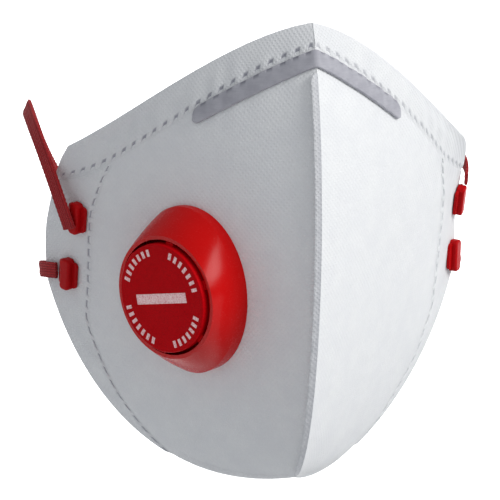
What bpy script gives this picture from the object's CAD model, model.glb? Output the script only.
"""Disposable flat-fold dust mask with a red valve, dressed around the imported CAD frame."""
import math

import bpy
import numpy as np
from mathutils import Matrix, Vector


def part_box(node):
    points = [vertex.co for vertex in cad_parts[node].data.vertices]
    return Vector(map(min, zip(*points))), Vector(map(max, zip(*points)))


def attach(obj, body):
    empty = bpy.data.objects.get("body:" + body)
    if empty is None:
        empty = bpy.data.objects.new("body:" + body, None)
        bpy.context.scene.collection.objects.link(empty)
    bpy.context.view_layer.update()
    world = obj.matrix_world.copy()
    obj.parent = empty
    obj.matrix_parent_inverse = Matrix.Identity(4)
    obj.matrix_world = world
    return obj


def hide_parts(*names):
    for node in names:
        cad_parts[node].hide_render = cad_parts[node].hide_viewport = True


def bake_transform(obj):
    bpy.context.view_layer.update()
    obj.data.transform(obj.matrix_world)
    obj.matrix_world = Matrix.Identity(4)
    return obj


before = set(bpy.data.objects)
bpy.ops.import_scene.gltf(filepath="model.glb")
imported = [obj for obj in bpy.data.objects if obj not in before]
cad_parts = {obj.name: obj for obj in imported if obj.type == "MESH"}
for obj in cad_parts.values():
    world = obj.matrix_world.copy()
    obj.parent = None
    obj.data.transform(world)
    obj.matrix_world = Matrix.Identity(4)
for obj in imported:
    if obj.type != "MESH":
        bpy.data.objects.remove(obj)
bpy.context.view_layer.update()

MM = 0.001
TAU = 2 * math.pi

# ---------------------------------------------------------------- camera
CAMERA_AZIMUTH, CAMERA_ELEVATION, CAMERA_ROLL = -14.8, 9.6, 0.8
CAMERA_DISTANCE = 1.4
CAMERA_LENS = 309.4
AIM_SIDEWAYS = 0.98 * MM


def make_camera():
    a, e = math.radians(CAMERA_AZIMUTH), math.radians(CAMERA_ELEVATION)
    back = Vector((math.sin(a) * math.cos(e), -math.cos(a) * math.cos(e), math.sin(e)))
    right = Vector((math.cos(a), math.sin(a), 0))
    data = bpy.data.cameras.new("camera")
    data.lens, data.sensor_width = CAMERA_LENS, 36
    data.clip_start, data.clip_end = 0.1, 20
    cam = bpy.data.objects.new("camera", data)
    bpy.context.scene.collection.objects.link(cam)
    turn = (-back).to_track_quat("-Z", "Y").to_matrix().to_4x4()
    roll = Matrix.Rotation(math.radians(CAMERA_ROLL), 4, "Z")
    place = Matrix.Translation(right * AIM_SIDEWAYS + back * CAMERA_DISTANCE)
    cam.matrix_world = place @ turn @ roll
    bpy.context.scene.camera = cam


make_camera()

# ---------------------------------------------------------------- node helpers


class Shader:
    """A Principled material and short ways to add and join its nodes."""

    def __init__(self, name, colour, rough, **sockets):
        self.mat = bpy.data.materials.new(name)
        self.mat.use_nodes = True
        self.tree = self.mat.node_tree
        self.bsdf = self.tree.nodes["Principled BSDF"]
        self.bsdf.inputs["Base Color"].default_value = (*colour, 1)
        self.bsdf.inputs["Roughness"].default_value = rough
        self.mat.diffuse_color = (*colour, 1)
        for key, value in sockets.items():
            self.bsdf.inputs[key.replace("_", " ")].default_value = value

    def node(self, kind, inputs=None, **props):
        n = self.tree.nodes.new("ShaderNode" + kind)
        for key, value in props.items():
            setattr(n, key, value)
        for key, value in (inputs or {}).items():
            if isinstance(value, bpy.types.NodeSocket):
                self.tree.links.new(value, n.inputs[key])
            else:
                n.inputs[key].default_value = value
        return n

    def math(self, operation, a, b=0.0):
        return self.node("Math", {0: a, 1: b}, operation=operation).outputs[0]

    def ramp(self, value, low, high, out_low=0.0, out_high=1.0):
        n = self.node("MapRange", {"Value": value, "From Min": low, "From Max": high,
                                   "To Min": out_low, "To Max": out_high}, clamp=True)
        n.interpolation_type = "SMOOTHSTEP"
        return n.outputs["Result"]

    def mix(self, factor, a, b):
        n = self.node("Mix", data_type="RGBA")
        for socket, value in ((n.inputs[0], factor), (n.inputs[6], a), (n.inputs[7], b)):
            if isinstance(value, bpy.types.NodeSocket):
                self.tree.links.new(value, socket)
            elif isinstance(value, tuple):
                socket.default_value = (*value, 1)
            else:
                socket.default_value = value
        return n.outputs[2]

    def cloth_uv(self, scale, turn=0.0, squeeze=(1, 1)):
        uv = self.node("UVMap", uv_map="cloth").outputs["UV"]
        return self.node("Mapping", {"Vector": uv, "Scale": (scale * squeeze[0], scale * squeeze[1], 1),
                                     "Rotation": (0, 0, turn)}).outputs["Vector"]

    def place(self, scale):
        at = self.node("TexCoord").outputs["Object"]
        return self.node("Mapping", {"Vector": at, "Scale": (scale, scale, scale)}).outputs["Vector"]

    def noise(self, vector, detail=3.0, rough=0.55, distort=0.0):
        return self.node("TexNoise", {"Vector": vector, "Scale": 1.0, "Detail": detail,
                                      "Roughness": rough, "Distortion": distort}).outputs["Fac"]

    def dots(self, vector, radius, soft):
        """Regular rows of small dots, 1 at their centres."""
        cell = self.node("TexVoronoi", {"Vector": vector, "Scale": 1.0, "Randomness": 0.0})
        return self.ramp(cell.outputs["Distance"], radius, radius + soft, 1.0, 0.0)

    def colour(self, value):
        self.tree.links.new(value, self.bsdf.inputs["Base Color"])

    def rough(self, value):
        self.tree.links.new(value, self.bsdf.inputs["Roughness"])

    def bump(self, height, depth, strength=1.0, below=None):
        inputs = {"Height": height, "Distance": depth, "Strength": strength}
        if below is not None:
            inputs["Normal"] = below
        out = self.node("Bump", inputs).outputs["Normal"]
        self.tree.links.new(out, self.bsdf.inputs["Normal"])
        return out

    def attribute(self, name):
        return self.node("Attribute", attribute_name=name).outputs["Fac"]


# ---------------------------------------------------------------- materials
# The cloth map is in millimetres, so a scale there is in features per millimetre.


def nonwoven(name, white, shade, bond_pitch, bond_depth, fibre_depth, rough=0.86):
    """Spun-bonded web: cloudy fibre density, fine tangled fibres, rows of bond points, welds."""
    m = Shader(name, white, rough, Sheen_Weight=0.12, Sheen_Roughness=0.5,
               Specular_IOR_Level=0.3)
    cloud = m.noise(m.cloth_uv(0.11), 3.0, 0.6)
    fibre = m.noise(m.cloth_uv(2.2, 0.5, (1, 0.28)), 6.0, 0.68, 1.4)
    cross = m.noise(m.cloth_uv(1.9, -0.7, (1, 0.3)), 5.0, 0.66, 1.1)
    web = m.math("ADD", fibre, cross)
    bond = m.dots(m.cloth_uv(1 / bond_pitch, math.radians(45)), 0.24, 0.14)
    weld = m.attribute("weld")
    tone = m.mix(m.ramp(cloud, 0.3, 0.72), shade, white)
    tone = m.mix(m.ramp(web, 0.75, 1.25, 0.0, 0.35), tone, tuple(0.93 * c for c in shade))
    tone = m.mix(m.math("MULTIPLY", bond, 0.09), tone, tuple(0.82 * c for c in white))
    tone = m.mix(weld, tone, tuple(0.42 * c for c in shade[:2]) + (0.47 * shade[2],))
    m.colour(tone)
    smooth = m.math("MAXIMUM", m.math("MULTIPLY", bond, 0.55), weld)
    m.rough(m.ramp(smooth, 0.0, 1.0, rough, 0.42))
    first = m.bump(web, fibre_depth)
    m.bump(m.math("SUBTRACT", 1.0, bond), bond_depth, 1.0, first)
    return m.mat


def plastic(name, colour, dark, rough, gloss, grain, grain_depth, speck=0.0):
    """Moulded plastic: slight flow marks, fine grain and faint scuffs."""
    m = Shader(name, colour, rough, Specular_IOR_Level=gloss)
    flow = m.noise(m.place(55), 3.0, 0.5, 0.6)
    fine = m.noise(m.place(grain), 4.0, 0.7)
    tone = m.mix(m.ramp(flow, 0.3, 0.7, 0.0, 0.5), colour, dark)
    if speck:
        tone = m.mix(m.ramp(fine, 0.42, 0.62, 0.0, speck), tone, tuple(0.45 * c for c in dark))
    m.colour(tone)
    scuff = m.noise(m.place(900), 2.0, 0.8, 2.0)
    m.rough(m.ramp(scuff, 0.35, 0.75, rough * 0.85, rough * 1.25))
    m.bump(fine, grain_depth)
    return m.mat


def printed(name):
    """Pad-printed ink, thin in places so the plastic shows through."""
    m = Shader(name, (0.86, 0.55, 0.55), 0.6)
    patch = m.noise(m.place(2600), 3.0, 0.7)
    m.colour(m.mix(m.ramp(patch, 0.28, 0.62), (0.62, 0.16, 0.18), (0.93, 0.70, 0.70)))
    m.bump(patch, 0.00002)
    return m.mat


def knitted(name):
    """Flat knitted elastic: lengthwise ribs crossed by fine slanted yarns."""
    m = Shader(name, (0.28, 0.016, 0.020), 0.85, Sheen_Weight=0.08, Sheen_Roughness=0.5,
               Specular_IOR_Level=0.15)
    uv = m.node("UVMap", uv_map="cloth").outputs["UV"]
    split = m.node("SeparateXYZ", {"Vector": uv})
    along, around = split.outputs["X"], split.outputs["Y"]
    ribs = m.math("SINE", m.math("MULTIPLY", around, TAU / 0.82))
    slant = m.math("ADD", m.math("MULTIPLY", along, TAU / 0.62), m.math("MULTIPLY", ribs, 1.5))
    yarn = m.math("MULTIPLY", m.math("SINE", slant), 0.5)
    weave = m.math("ADD", m.math("MULTIPLY", ribs, 0.6), yarn)
    fuzz = m.noise(m.cloth_uv(3.0), 4.0, 0.7)
    wear = m.noise(m.cloth_uv(0.12), 2.0, 0.5)
    tone = m.mix(m.ramp(weave, -1.0, 1.0), (0.18, 0.008, 0.010), (0.46, 0.014, 0.018))
    tone = m.mix(m.ramp(wear, 0.3, 0.7, 0.0, 0.35), tone, (0.26, 0.012, 0.016))
    m.colour(m.mix(m.ramp(fuzz, 0.45, 0.75, 0.0, 0.3), tone, (0.50, 0.05, 0.05)))
    m.rough(m.ramp(weave, -1.0, 1.0, 0.9, 0.68))
    m.bump(weave, 0.00012)
    return m.mat


def foam(name):
    """Open-cell foam: small pores of uneven size."""
    m = Shader(name, (0.42, 0.43, 0.46), 0.95)
    cell = m.node("TexVoronoi", {"Vector": m.cloth_uv(2.2), "Scale": 1.0, "Randomness": 1.0})
    pore = m.ramp(cell.outputs["Distance"], 0.1, 0.5)
    patch = m.noise(m.cloth_uv(0.5), 3.0)
    tone = m.mix(pore, (0.20, 0.21, 0.23), (0.50, 0.51, 0.54))
    m.colour(m.mix(m.ramp(patch, 0.3, 0.7, 0.0, 0.4), tone, (0.36, 0.37, 0.40)))
    m.bump(pore, 0.0003)
    return m.mat


def strip_cover(name):
    """Grey coated strip: faint brushed lines along it, dull sheen, pressed dots."""
    m = Shader(name, (0.36, 0.36, 0.40), 0.58, Specular_IOR_Level=0.4)
    lines = m.noise(m.cloth_uv(1.6, math.radians(-27), (0.12, 1.6)), 4.0, 0.6)
    patch = m.noise(m.cloth_uv(0.28), 3.0, 0.6)
    weld = m.attribute("weld")
    tone = m.mix(m.ramp(patch, 0.3, 0.7), (0.33, 0.33, 0.37), (0.41, 0.41, 0.45))
    tone = m.mix(m.ramp(lines, 0.35, 0.7, 0.0, 0.35), tone, (0.29, 0.29, 0.335))
    m.colour(m.mix(weld, tone, (0.20, 0.20, 0.235)))
    m.rough(m.ramp(lines, 0.3, 0.7, 0.52, 0.68))
    m.bump(lines, 0.00006)
    return m.mat


def silicone(name):
    """Thin milky rubber with a dusting of talc."""
    m = Shader(name, (0.72, 0.73, 0.72), 0.45, Subsurface_Weight=0.15, Subsurface_Scale=0.002)
    dust = m.noise(m.place(700), 4.0, 0.7)
    m.colour(m.mix(m.ramp(dust, 0.35, 0.7), (0.64, 0.66, 0.66), (0.80, 0.80, 0.78)))
    m.rough(m.ramp(dust, 0.35, 0.7, 0.38, 0.6))
    m.bump(dust, 0.00003)
    return m.mat


COVER = nonwoven("cover_nonwoven", (0.80, 0.81, 0.82), (0.76, 0.77, 0.79), 1.25, 0.00007, 0.00007)
FILTER = nonwoven("filter_web", (0.84, 0.84, 0.82), (0.78, 0.78, 0.77), 4.0, 0.00006, 0.00025, 0.95)
LINING = nonwoven("lining_nonwoven", (0.82, 0.82, 0.81), (0.75, 0.76, 0.76), 1.8, 0.00010, 0.00012)
WELDED = nonwoven("welded_edge", (0.78, 0.79, 0.80), (0.73, 0.74, 0.76), 1.1, 0.00010, 0.00006, 0.74)
STRIP = strip_cover("nose_strip_grey")
FOAM = foam("nose_foam")
BASE_RED = plastic("valve_red", (0.54, 0.001, 0.001), (0.46, 0.001, 0.001), 0.24, 0.12, 1500, 0.00002)
CAP_RED = plastic("valve_cover_red", (0.55, 0.001, 0.005), (0.47, 0.001, 0.004), 0.45, 0.03,
                  2600, 0.00006, 0.45)
PRINT = printed("print_white")
SILICONE = silicone("silicone")
CLIP_RED = plastic("clip_red", (0.46, 0.004, 0.006), (0.34, 0.003, 0.005), 0.40, 0.06,
                   1800, 0.00004, 0.2)
STRAP = knitted("strap_red")

NODE_LOOKS = {
    "valve_base": BASE_RED, "valve_inner_ring": BASE_RED, "diaphragm_clamp": BASE_RED,
    "valve_cover": CAP_RED, "cover_marks": PRINT,
    "valve_diaphragm": SILICONE, "diaphragm_root": SILICONE,
    "upper_clip_right": CLIP_RED, "lower_clip_right": CLIP_RED, "upper_clip_left": CLIP_RED,
    "lower_clip_left": CLIP_RED, "clip_backs_right": CLIP_RED, "clip_backs_left": CLIP_RED,
}
for node_name, look in NODE_LOOKS.items():
    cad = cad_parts[node_name]
    for cad_slot in cad.material_slots:
        cad_slot.material = look
    if not cad.material_slots:
        cad.data.materials.append(look)

# ---------------------------------------------------------------- head straps
STRAP_W, STRAP_T = 5.0, 1.2
UPPER_ROUTE = [
    (-64.4, -23.7, 12.6), (-71.5, -22.4, 33.7), (-74.4, -3.3, 49.0), (-67.0, 29.7, 44.4),
    (-57.1, 46.6, 24.2), (-43.9, 56.6, 5.4), (-16.0, 60.0, -3.0), (18.0, 61.0, -3.0),
    (48.0, 50.0, 8.0), (66.5, 23.0, 25.0), (73.6, -6.0, 31.0), (69.15, -16.0, 23.9),
]
UPPER_ACROSS = (-0.49, 0.83, -0.21)
LOWER_ROUTE = [
    (-66.2, -13.15, -2.45), (-71.3, -5.4, -3.0), (-64.5, 6.0, -5.0), (-49.0, 22.5, -11.0),
    (-16.0, 38.0, -20.0), (20.0, 38.0, -22.0), (46.0, 27.0, -15.0), (65.0, 11.5, -8.0),
    (73.2, 2.5, -4.0), (70.45, -6.1, -2.4),
]
LOWER_ACROSS = (0, 0, 1)
SPLINE_STEPS = 100
SECTION_POINTS = 28
SQUARISH = 0.45             # exponent that squares off the elastic's round section
RIBS, RIB_DEPTH = 5, 0.14
SCALLOP_PITCH, SCALLOP_DEPTH = 1.5, 0.045
BACK_SHIFT = 0.4            # the weave on the back is set off by this many millimetres


def spline_points(name, route):
    """Points along the NURBS spline whose control points are the route's, in metres."""
    curve = bpy.data.curves.new(name, "CURVE")
    curve.dimensions = "3D"
    curve.resolution_u = SPLINE_STEPS
    spline = curve.splines.new("NURBS")
    spline.points.add(len(route) - 1)
    for point, at in zip(spline.points, route):
        point.co = (*(c * MM for c in at), 1)
    spline.order_u = 3
    spline.use_endpoint_u = True
    holder = bpy.data.objects.new(name, curve)
    line = bpy.data.meshes.new_from_object(holder)
    points = np.array([v.co for v in line.vertices], float)
    bpy.data.objects.remove(holder)
    bpy.data.meshes.remove(line)
    return points


def carried(points, across):
    """Unit across and up directions carried along a line without extra twist."""
    tangents = np.gradient(points, axis=0)
    tangents /= np.linalg.norm(tangents, axis=1)[:, None]
    side = np.array(across, float)
    sides, ups = [], []
    for d in tangents:
        side = side - d * (side @ d)
        side /= np.linalg.norm(side)
        sides.append(side)
        ups.append(np.cross(d, side))
    return np.array(sides), np.array(ups)


def new_object(name, verts, faces, mat, uv=None, weld=None, smooth_angle=40):
    """A mesh piece with its material, cloth map and share of weld at each point."""
    mesh = bpy.data.meshes.new(name)
    mesh.from_pydata(np.asarray(verts).tolist(), [], faces)
    mesh.materials.append(mat)
    if uv is not None:
        layer = mesh.uv_layers.new(name="cloth")
        loops = np.empty(len(mesh.loops), np.int32)
        mesh.loops.foreach_get("vertex_index", loops)
        layer.data.foreach_set("uv", np.asarray(uv, np.float32)[loops].ravel())
    if weld is not None:
        pressed = mesh.attributes.new("weld", "FLOAT", "POINT")
        pressed.data.foreach_set("value", np.asarray(weld, np.float32).ravel())
    mesh.polygons.foreach_set("use_smooth", [True] * len(mesh.polygons))
    mesh.set_sharp_from_angle(angle=math.radians(smooth_angle))
    mesh.validate()
    obj = bpy.data.objects.new(name, mesh)
    bpy.context.scene.collection.objects.link(obj)
    return obj


def strap_mesh(name, points, across):
    """Flat ribbed elastic along points, edges gathered by the yarns."""
    sides, ups = carried(points, across)
    gaps = np.linalg.norm(np.diff(points, axis=0), axis=1)
    along = np.concatenate([[0], np.cumsum(gaps)]) / MM
    angles = np.arange(SECTION_POINTS) / SECTION_POINTS * TAU
    x = np.sign(np.cos(angles)) * np.abs(np.cos(angles)) ** SQUARISH
    y = np.sign(np.sin(angles)) * np.abs(np.sin(angles)) ** SQUARISH
    rib = 1 + RIB_DEPTH * np.cos(RIBS * TAU * (x + 1) / 2)
    scallop = 1 + SCALLOP_DEPTH * np.sin(TAU * along / SCALLOP_PITCH)
    wide = (STRAP_W / 2 * MM) * x[None, :] * scallop[:, None]
    thick = (STRAP_T / 2 * MM) * (y * rib)[None, :] * (2 - scallop[:, None])
    verts = points[:, None] + sides[:, None] * wide[..., None] + ups[:, None] * thick[..., None]
    verts = verts.reshape(-1, 3)
    n, k = len(points), SECTION_POINTS
    faces = []
    for i in range(n - 1):
        for j in range(k):
            a, b = i * k + j, i * k + (j + 1) % k
            faces.append((a, b, b + k, a + k))
    faces.append(tuple(range(k - 1, -1, -1)))
    faces.append(tuple((n - 1) * k + j for j in range(k)))
    uv = np.empty((n, k, 2))
    uv[..., 0] = along[:, None]
    uv[..., 1] = x[None, :] * STRAP_W / 2 + (y < 0)[None, :] * BACK_SHIFT
    return new_object(name, verts, faces, STRAP, uv.reshape(-1, 2), smooth_angle=60)


def make_strap(name, node, route, across):
    points = spline_points(name, route)
    strap = strap_mesh(name, points, across)
    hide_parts(node)
    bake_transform(strap)


make_strap("upper_strap", "upper_head_strap", UPPER_ROUTE, UPPER_ACROSS)
make_strap("lower_strap", "lower_head_strap", LOWER_ROUTE, LOWER_ACROSS)

# ---------------------------------------------------------------- panel surface
NET = np.array([
    [(0, -62, -62), (23, -14, -76), (55, -14, -52), (68, -7, -5)],
    [(0, -94, -51), (28, -69, -48), (44, -35, -50), (69, -6, 12)],
    [(0, -97, 46), (31, -74, 37), (58, -40, 36), (68, -3, 11)],
    [(0, -74, 83), (24, -64, 78), (51, -43, 50), (67, -24, 38)],
], float)
OUTER_T, FILTER_T, LINING_T, LAYER_GAP, HEM_T = 0.5, 1.1, 0.4, 0.12, 0.45
D1 = -OUTER_T
D2 = D1 - LAYER_GAP
D3 = D2 - FILTER_T
D4 = D3 - LAYER_GAP
D5 = D4 - LINING_T
VALVE_AT = np.array((-32.8, -56.0, -2.0))
VALVE_YAW, VALVE_PITCH = math.radians(-56), math.radians(-6)
FACING = np.array((math.sin(VALVE_YAW) * math.cos(VALVE_PITCH),
                   -math.cos(VALVE_YAW) * math.cos(VALVE_PITCH), math.sin(VALVE_PITCH)))
VALVE_ST = (0.415, 0.503)
VALVE_REACH = (0.27, 0.25)
PORT_R, PORT_EASE = 14.6, 0.01
FOLD_GAP = 0.02             # each half stops this far from the centre plane
PANEL_W, PANEL_H = 110, 135     # rough lengths of the panel along s and t
PUCKER = 0.16
CORNER_S, CORNER_T = 0.045, 0.085


def basis(u):
    return np.stack([(1 - u) ** 3, 3 * u * (1 - u) ** 2, 3 * u * u * (1 - u), u ** 3])


def panel(s, t):
    """Outer cover of the +X half: s from the fold to the side, t from chin to nose."""
    return np.einsum("j...,i...,jik->...k", basis(t), basis(s), NET)


def outward(s, t):
    h = 1e-4
    ds = panel(s + h, t) - panel(s - h, t)
    dt = panel(s, t + h) - panel(s, t - h)
    n = np.cross(ds, dt)
    return n / np.linalg.norm(n, axis=-1, keepdims=True)


def step(x, low, high):
    k = np.clip((x - low) / (high - low), 0, 1)
    return k * k * (3 - 2 * k)


def top_edge(s):
    return 0.934 - 0.08 * s - 0.1 * s ** 2 + np.maximum(0, s - 0.7) ** 2


def side_start(t):
    low = np.maximum(0, 0.27 - t) / 0.27
    return 0.795 - 0.395 * low ** 2 - 1.35 * np.maximum(0, t - 0.6) ** 2


def corner(s):
    """Highest t of the layers: their upper side corner is rounded off."""
    past = np.clip((s - 1 + CORNER_S) / CORNER_S, 0, 1)
    return 1 - CORNER_T * (1 - np.sqrt(1 - past ** 2))


def relief(s, t, fx):
    """Millimetres that the whole panel stands off its ideal surface: soft waves and puckers."""
    phase = 0.0 if fx > 0 else 1.9
    wave = 0.30 * np.sin(TAU * (1.15 * s + 0.55 * t) + 0.6 + phase)
    wave = wave + 0.22 * np.sin(TAU * (0.5 * s - 1.6 * t) + 2.1 + 2 * phase)
    below_hem = np.maximum(0, top_edge(s) - t) * PANEL_H
    before_hem = np.maximum(0, side_start(t) - s) * PANEL_W
    nose_gather = np.sin(TAU * s * 11 + 1.3 * np.sin(TAU * 3 * s) + phase)
    side_gather = np.sin(TAU * t * 9 + phase)
    pucker = PUCKER * np.exp(-below_hem / 6) * nose_gather
    pucker = pucker + PUCKER * np.exp(-before_hem / 5) * side_gather
    near = np.hypot((s - VALVE_ST[0]) / VALVE_REACH[0], (t - VALVE_ST[1]) / VALVE_REACH[1])
    calm = step(near, 0.95, 1.5) if fx < 0 else 1.0
    edges = step(s, 0.0, 0.16) * (1 - step(s, 0.72, 0.9)) * step(t, 0.0, 0.12) * (1 - step(t, 0.9, 1.0))
    return (wave + pucker) * calm * edges


def surface(s, t, depth, fx):
    p = panel(s, t) + outward(s, t) * (depth + relief(s, t, fx))[..., None]
    return p * np.array((fx, 1, 1))


def cloth_map(p):
    """Cloth coordinates in millimetres: sideways along each half's mean plane, and up."""
    return np.stack([np.abs(p[..., 0]) * 0.66 + p[..., 1] * 0.75, p[..., 2]], -1)


def grid_quads(rows, cols):
    """Corner numbers of each quad of a grid, in its rows and columns."""
    index = np.arange(rows * cols).reshape(rows, cols)
    return np.stack([index[:-1, :-1], index[:-1, 1:], index[1:, 1:], index[1:, :-1]], -1)


def closed(quads, count):
    """Faces of a closed sheet: the quads, the same quads on the back, and a rim between."""
    pairs = np.concatenate([quads[:, [i, (i + 1) % 4]] for i in range(4)])
    seen = set(map(tuple, pairs.tolist()))
    rim = [p for p in pairs.tolist() if (p[1], p[0]) not in seen]
    faces = quads.tolist() + (quads[:, ::-1] + count).tolist()
    return faces + [(q, p, p + count, q + count) for p, q in rim]


def row_lengths(points):
    """Distance of each grid point from the first row, measured across the rows."""
    gaps = np.linalg.norm(np.diff(points, axis=0), axis=2)
    return np.concatenate([np.zeros((1, points.shape[1])), np.cumsum(gaps, axis=0)])


def sheet_mesh(name, s, t, top, bottom, fx, mat, keep=None, weld=None):
    """A closed sheet over grids s and t, between two depths in millimetres."""
    top, bottom = np.broadcast_to(top, s.shape), np.broadcast_to(bottom, s.shape)
    outer, inner = surface(s, t, top, fx), surface(s, t, bottom, fx)
    for p in (outer, inner):
        p[..., 0] = fx * np.maximum(p[..., 0] * fx, FOLD_GAP)
    keep = np.ones((s.shape[0] - 1, s.shape[1] - 1), bool) if keep is None else keep
    quads = grid_quads(*s.shape)[keep]
    if fx < 0:
        quads = quads[:, ::-1]
    count = s.size
    faces = closed(quads, count)
    points = np.concatenate([outer.reshape(-1, 3), inner.reshape(-1, 3)])
    used = np.unique(np.concatenate([quads.ravel(), quads.ravel() + count]))
    lookup = np.full(2 * count, -1)
    lookup[used] = np.arange(len(used))
    faces = [tuple(int(lookup[i]) for i in f) for f in faces]
    uv = cloth_map(points)[used]
    welds = np.zeros(s.shape) if weld is None else weld
    welds = np.concatenate([welds.ravel(), welds.ravel() * 0])[used]
    return new_object(name, points[used] * MM, faces, mat, uv, welds)


def on_fold(obj):
    """Blend a piece between the two halves, over a short way either side of the fold."""
    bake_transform(obj)


def body(fx):
    return "left_half" if fx > 0 else "right_half"


def side_name(fx):
    return "left" if fx > 0 else "right"


def even(curve, start, end, count):
    """Parameters from start to end that are evenly spaced along a curve, and its length there."""
    fine = np.linspace(start, end, 600)
    points = curve(fine)
    run = np.concatenate([[0], np.cumsum(np.linalg.norm(np.diff(points, axis=0), axis=1))])
    at = np.linspace(0, run[-1], count)
    return np.interp(at, run, fine), at


def box_mark(along, across, half_l, half_w, soft):
    """A pressed rectangle, 1 inside and fading to 0 over its soft edge."""
    return (1 - step(np.abs(along), half_l - soft, half_l + soft)) * (
        1 - step(np.abs(across), half_w - soft, half_w + soft))


# ---------------------------------------------------------------- fabric layers
PANEL_COLS, PANEL_ROWS = 150, 190
INSET, INSET_SIDE = 0.012, 0.98                     # the inner layers end this far inside


def port_grid(s, t):
    """Which quads lie outside the valve's port, with the vertices at its rim moved onto it."""
    off = panel(s, t) * np.array((-1, 1, 1)) - VALVE_AT
    off = off - (off @ FACING)[..., None] * FACING
    r = np.linalg.norm(off, axis=-1)
    middle = np.unravel_index(np.argmin(r), r.shape)
    outside = r > PORT_R
    inside = ~outside
    near = np.zeros_like(inside)
    near[1:] |= inside[:-1]
    near[:-1] |= inside[1:]
    near[:, 1:] |= inside[:, :-1]
    near[:, :-1] |= inside[:, 1:]
    pull = np.where(near & outside, (PORT_R + PORT_EASE) / r, 1.0)
    s, t = s[middle] + (s - s[middle]) * pull, t[middle] + (t - t[middle]) * pull
    keep = outside[:-1, :-1] & outside[1:, :-1] & outside[:-1, 1:] & outside[1:, 1:]
    return s, t, keep


def layer_piece(name, node, fx, top, bottom, mat, t_low, t_high, s_high):
    """One fabric layer of one half, cut out around the valve on the -X half."""
    s, t = np.meshgrid(np.linspace(0, s_high, PANEL_COLS), np.linspace(t_low, t_high, PANEL_ROWS))
    t = t_low + (t - t_low) * (np.minimum(corner(s), t_high) - t_low) / (t_high - t_low)
    keep = None
    if fx < 0:
        s, t, keep = port_grid(s, t)
    obj = sheet_mesh(name, s, t, top, bottom, fx, mat, keep)
    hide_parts(node)
    on_fold(obj)


for fx in (-1, 1):
    side = side_name(fx)
    layer_piece(f"cover_{side}", f"outer_shell_{side}", fx, 0.0, D1, COVER, 0.0, 1.0, 1.0)
    layer_piece(f"filter_{side}", f"filter_layer_{side}", fx, D2, D3, FILTER, INSET, 1 - INSET,
                INSET_SIDE)
    layer_piece(f"lining_{side}", f"inner_lining_{side}", fx, D4, D5, LINING, INSET, 1 - INSET,
                INSET_SIDE)

# ---------------------------------------------------------------- welded hems
WELD_PITCH = 4.6
CHIN_HEM, CHIN_GAP = 0.040, 0.018
HEM_SPLIT = 0.992           # the side hem stops just short of the nose hem
LIGHT_NOSE_PRESS, LIGHT_SIDE_PRESS = 0.5, 0.4      # the +X half's welds are fainter
EDGE_ROUND = 0.9
FADE_IN = 2.4
HEM_FOOT, HEM_RISE = 0.05, HEM_T - 0.03
HEM_BACK = 0.03
WELD_DEPTH, RIDGE_H = 0.30, 0.10


def hem_top(across, width, mark, ridge):
    """Height of a hem's outer face: fading in from the panel, rounded over, pressed in at the welds."""
    rise = step(across, 0.0, FADE_IN)
    fall = np.sqrt(np.clip(1 - (1 - np.clip((width - across) / EDGE_ROUND, 0, 1)) ** 2, 0, 1))
    return HEM_FOOT + HEM_RISE * np.minimum(rise, fall) - WELD_DEPTH * mark + RIDGE_H * ridge


def beat(along):
    """Distance along the hem from the nearest weld's middle."""
    return along % WELD_PITCH - WELD_PITCH / 2


def nose_hem(fx):
    """Hem along the nose edge, with a row of leaning welds near its inner edge."""
    cols, rows = 330, 34
    s1, run = even(lambda s: panel(s, top_edge(s)), 0.0, 1.0, cols)
    v = np.linspace(0, 1, rows) ** 1.15
    s, vv = np.meshgrid(s1, v)
    t = top_edge(s) + (corner(s) - top_edge(s)) * vv
    across = row_lengths(panel(s, t))
    width = across[-1]
    lean = run + 0.35 * (across - 1.6) + 1.2
    mark = box_mark(beat(lean), across - 1.55, 0.85, 0.95, 0.28)
    ridge = box_mark(beat(lean + WELD_PITCH / 2), across - 1.55, 0.35, 1.1, 0.3)
    ends = step(s, 0.0, 0.012) * (1 - step(s, 0.955, 0.97))
    mark, ridge = mark * ends, ridge * ends
    top = hem_top(across, width[None, :], mark, ridge)
    press = 1.0 if fx < 0 else LIGHT_NOSE_PRESS
    obj = sheet_mesh(f"nose_hem_{side_name(fx)}", s, t, top, HEM_BACK, fx, WELDED, None, mark * press)
    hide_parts(f"top_hem_{side_name(fx)}")
    on_fold(obj)


def side_hem(fx):
    """Hem along the side edge, with short welds across it near its front."""
    rows, cols = 300, 90

    def front(v):
        s0 = side_start(v * top_edge(0.9) * HEM_SPLIT)
        return panel(s0, v * top_edge(s0) * HEM_SPLIT)

    v1, run = even(front, 0.0, 1.0, rows)
    u = np.linspace(0, 1, cols) ** 1.6
    uu, vv = np.meshgrid(u, v1)
    start = side_start(vv * top_edge(0.9) * HEM_SPLIT)
    s = start + (1 - start) * uu
    t = vv * top_edge(s) * HEM_SPLIT
    across = row_lengths(panel(s, t).swapaxes(0, 1)).T
    width = across[:, -1:]
    along = run[:, None] + 0.9
    mark = box_mark(beat(along), across - 1.3, 1.3, 0.62, 0.25)
    ridge = box_mark(beat(along + WELD_PITCH / 2), across - 1.3, 0.4, 0.8, 0.25)
    top = hem_top(across, width, mark, ridge)
    press = 1.0 if fx < 0 else LIGHT_SIDE_PRESS
    obj = sheet_mesh(f"side_hem_of_{side_name(fx)}", s, t, top, HEM_BACK, fx, WELDED, None, mark * press)
    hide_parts(f"side_hem_{side_name(fx)}")
    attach(obj, body(fx))


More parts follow.
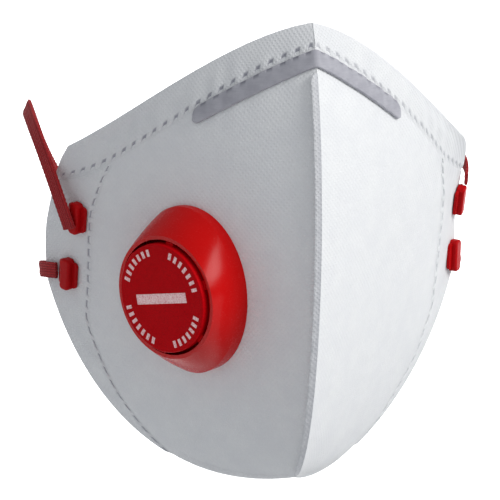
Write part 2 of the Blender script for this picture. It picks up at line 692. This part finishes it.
def chin_hem(fx):
    """Smooth heat-sealed edge, without the needle-like welds of the other hems."""
    cols, rows = 150, 22
    end = float(side_start(np.array(0.0))) - CHIN_GAP
    s, vv = np.meshgrid(np.linspace(0.0, end, cols), np.linspace(0, 1, rows))
    t = CHIN_HEM * vv
    across = row_lengths(panel(s, t))
    width = across[-1]
    full = hem_top(width - across, width, 0, 0)
    thin_out = 0.5 * (1 - step(s, end - 0.08, end))
    top = HEM_FOOT + (full - HEM_FOOT) * thin_out
    obj = sheet_mesh(f"chin_hem_of_{side_name(fx)}", s, t, top, HEM_BACK, fx, WELDED)
    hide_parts(f"chin_hem_{side_name(fx)}")
    on_fold(obj)


for fx in (-1, 1):
    nose_hem(fx)
    side_hem(fx)
    chin_hem(fx)

# ---------------------------------------------------------------- pieces that cross the fold


def crossing(name, s, t, top, bottom, mat, weld=None):
    """One closed piece over both halves: the -X grid and its mirror, joined at the fold."""
    layers = []
    for depth in (top, bottom):
        depth = np.broadcast_to(depth, s.shape)
        left = surface(s, t, depth, 1.0)
        left[:, 0, 0] = 0
        layers.append(np.concatenate([surface(s, t, depth, -1.0)[:, :0:-1], left], axis=1))
    rows, cols = layers[0].shape[:2]
    faces = closed(grid_quads(rows, cols).reshape(-1, 4), rows * cols)
    points = np.concatenate([grid.reshape(-1, 3) for grid in layers])
    welds = np.zeros(s.shape) if weld is None else weld
    welds = np.concatenate([welds[:, :0:-1], welds], axis=1).ravel()
    return new_object(name, points * MM, faces, mat, cloth_map(points), np.concatenate([welds, welds * 0]))


STRIP_W, PAD_W = 5.2, 11.0
STRIP_REACH, STRIP_ROUND = 0.43, 0.03       # how far each arm runs, and its rounded end
STRIP_TOP = 0.50


def strip_grid(width, cols, rows):
    """Grid of a strip below the nose hem: s, t, place across it, and how far round its end."""
    s, across = np.meshgrid(np.linspace(0, 1, cols) * STRIP_REACH, np.linspace(-1, 1, rows))
    past = np.clip((s - STRIP_REACH + STRIP_ROUND) / STRIP_ROUND, 0, 1)
    panel_h = 135 - 50 * s
    half = width / 2 / panel_h * np.sqrt(np.maximum(0.015, 1 - past ** 2))
    return s, 0.916 - 0.115 * s + half * across, across, past


def nose_strip():
    """Coated metal strip, crowned across, with welds along its upper edge."""
    s, t, v, past = strip_grid(STRIP_W, 190, 24)
    crown = np.sqrt(np.clip(1 - v ** 2, 0, 1)) ** 0.35
    crown = crown * np.sqrt(np.clip(1 - past ** 4, 0, 1))
    mark = box_mark(beat(s * 100), v - 0.95, 1.0, 0.28, 0.25)
    top = STRIP_TOP + 0.85 * crown - 0.3 * mark
    obj = crossing("nose_strip", s, t, top, STRIP_TOP - 0.04, STRIP, mark)
    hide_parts("nose_clip")
    on_fold(obj)


def nose_pad():
    """Foam strip inside the nose, plump in the middle and thin at its edges."""
    s, t, v, past = strip_grid(PAD_W, 120, 26)
    plump = np.sqrt(np.clip(1 - v ** 2, 0, 1)) ** 0.5 * np.sqrt(np.clip(1 - past ** 4, 0, 1))
    back = D5 - LAYER_GAP
    obj = crossing("nose_pad", s, t, back, back - 0.4 - 2.6 * plump, FOAM)
    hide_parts("nose_foam")
    on_fold(obj)


FIN_REACH, FIN_T = 2.2, 0.7
SEAM_FROM, SEAM_TO = 0.05, 0.885        # its ends, as shares of the fold's length


def fold_seam():
    """Welded fin along the front fold, leaning over the -X half, dullest at its root."""
    rows, cols = 260, 12
    t1 = np.linspace(SEAM_FROM, SEAM_TO, rows)
    edge = panel(np.zeros(rows), t1)
    ahead = panel(np.full(rows, 0.02), t1) - edge
    ahead /= np.linalg.norm(ahead, axis=1)[:, None]
    out = outward(np.zeros(rows), t1)
    lean = (ahead + out * 0.8) * np.array((-1, 1, 1))
    lean /= np.linalg.norm(lean, axis=1)[:, None]
    front = out * np.array((0, 1, 1))
    front /= np.linalg.norm(front, axis=1)[:, None]
    face = np.cross(lean, np.gradient(edge, axis=0))
    face /= np.linalg.norm(face, axis=1)[:, None]
    if face[rows // 2] @ front[rows // 2] < 0:
        face = -face
    run = np.concatenate([[0], np.cumsum(np.linalg.norm(np.diff(edge, axis=0), axis=1))])
    v = np.linspace(0, 1, cols)
    ripple = 0.12 * np.sin(TAU * run / 7.3) + 0.08 * np.sin(TAU * run / 3.1 + 1)
    ends = np.sqrt(np.clip(1 - (1 - np.clip(np.minimum(run, run[-1] - run) / 3.0, 0, 1)) ** 2, 0, 1))
    reach = FIN_REACH * (0.35 + 0.65 * ends)
    base = edge + front * 0.2
    mid = base[:, None] + lean[:, None] * (reach[:, None] * v)[..., None]
    mid = mid + face[:, None] * (ripple[:, None] * v ** 2)[..., None]
    thin = 0.9 * ((np.clip(v, 0.6, 1) - 0.6) / 0.4) ** 2
    thick = FIN_T / 2 * np.sqrt(1 - thin)[None, :]
    outer = mid + face[:, None] * thick[..., None]
    inner = mid - face[:, None] * np.maximum(thick, 0.1)[..., None]
    faces = closed(grid_quads(rows, cols).reshape(-1, 4)[:, ::-1], rows * cols)
    points = np.concatenate([outer.reshape(-1, 3), inner.reshape(-1, 3)])
    uv = np.stack([points[:, 0] + 0.3 * points[:, 1], points[:, 2]], -1)
    dull = np.broadcast_to(0.55 - 0.35 * v, (rows, cols)).ravel()
    obj = new_object("fold_seam", points * MM, faces, WELDED, uv, np.tile(dull, 2))
    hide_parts("centre_seam")
    on_fold(obj)


nose_strip()
nose_pad()
fold_seam()

# ---------------------------------------------------------------- floor and light
FLOOR_DROP = 0.012
FLOOR_HALF = 6.0


def floor_material():
    m = Shader("studio_paper", (0.93, 0.93, 0.93), 0.9, Specular_IOR_Level=0.1)
    grain = m.noise(m.place(60), 4.0, 0.6)
    m.colour(m.mix(m.ramp(grain, 0.3, 0.7), (0.925, 0.925, 0.925), (0.94, 0.94, 0.94)))
    return m.mat


def make_floor():
    """Flat sheet of pale paper, wide enough to fill every view from above it."""
    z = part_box("chin_hem_left")[0].z - FLOOR_DROP
    r = FLOOR_HALF
    verts = [(-r, -r, z), (r, -r, z), (r, r, z), (-r, r, z)]
    floor = new_object("studio_floor", verts, [(0, 1, 2, 3)], floor_material())
    floor.visible_diffuse = False
    return floor


def area_light(name, at, aim, size, power, colour, only=None):
    data = bpy.data.lights.new(name, "AREA")
    data.shape = "DISK"
    data.size, data.energy, data.color = size, power, colour
    lamp = bpy.data.objects.new(name, data)
    bpy.context.scene.collection.objects.link(lamp)
    lamp.location = at
    lamp.rotation_mode = "QUATERNION"
    lamp.rotation_quaternion = (Vector(aim) - Vector(at)).to_track_quat("-Z", "Y")
    if only is not None:
        lit = bpy.data.collections.new(name + "_lights")
        lit.objects.link(only)
        lamp.light_linking.receiver_collection = lit


def make_world(strength, colour):
    world = bpy.data.worlds.new("studio")
    world.use_nodes = True
    back = world.node_tree.nodes["Background"]
    back.inputs["Color"].default_value = (*colour, 1)
    back.inputs["Strength"].default_value = strength
    bpy.context.scene.world = world


floor_sheet = make_floor()
make_world(0.54, (0.94, 0.965, 1.0))
area_light("key", (1.1, -1.0, 0.9), (0, 0, 0), 0.9, 22.5, (1.0, 0.99, 0.97))
area_light("floor_light", (0, 0.3, 2.2), (0, 0.3, 0), 5.0, 190, (1, 1, 1), floor_sheet)
bpy.context.scene.view_settings.view_transform = "Standard"
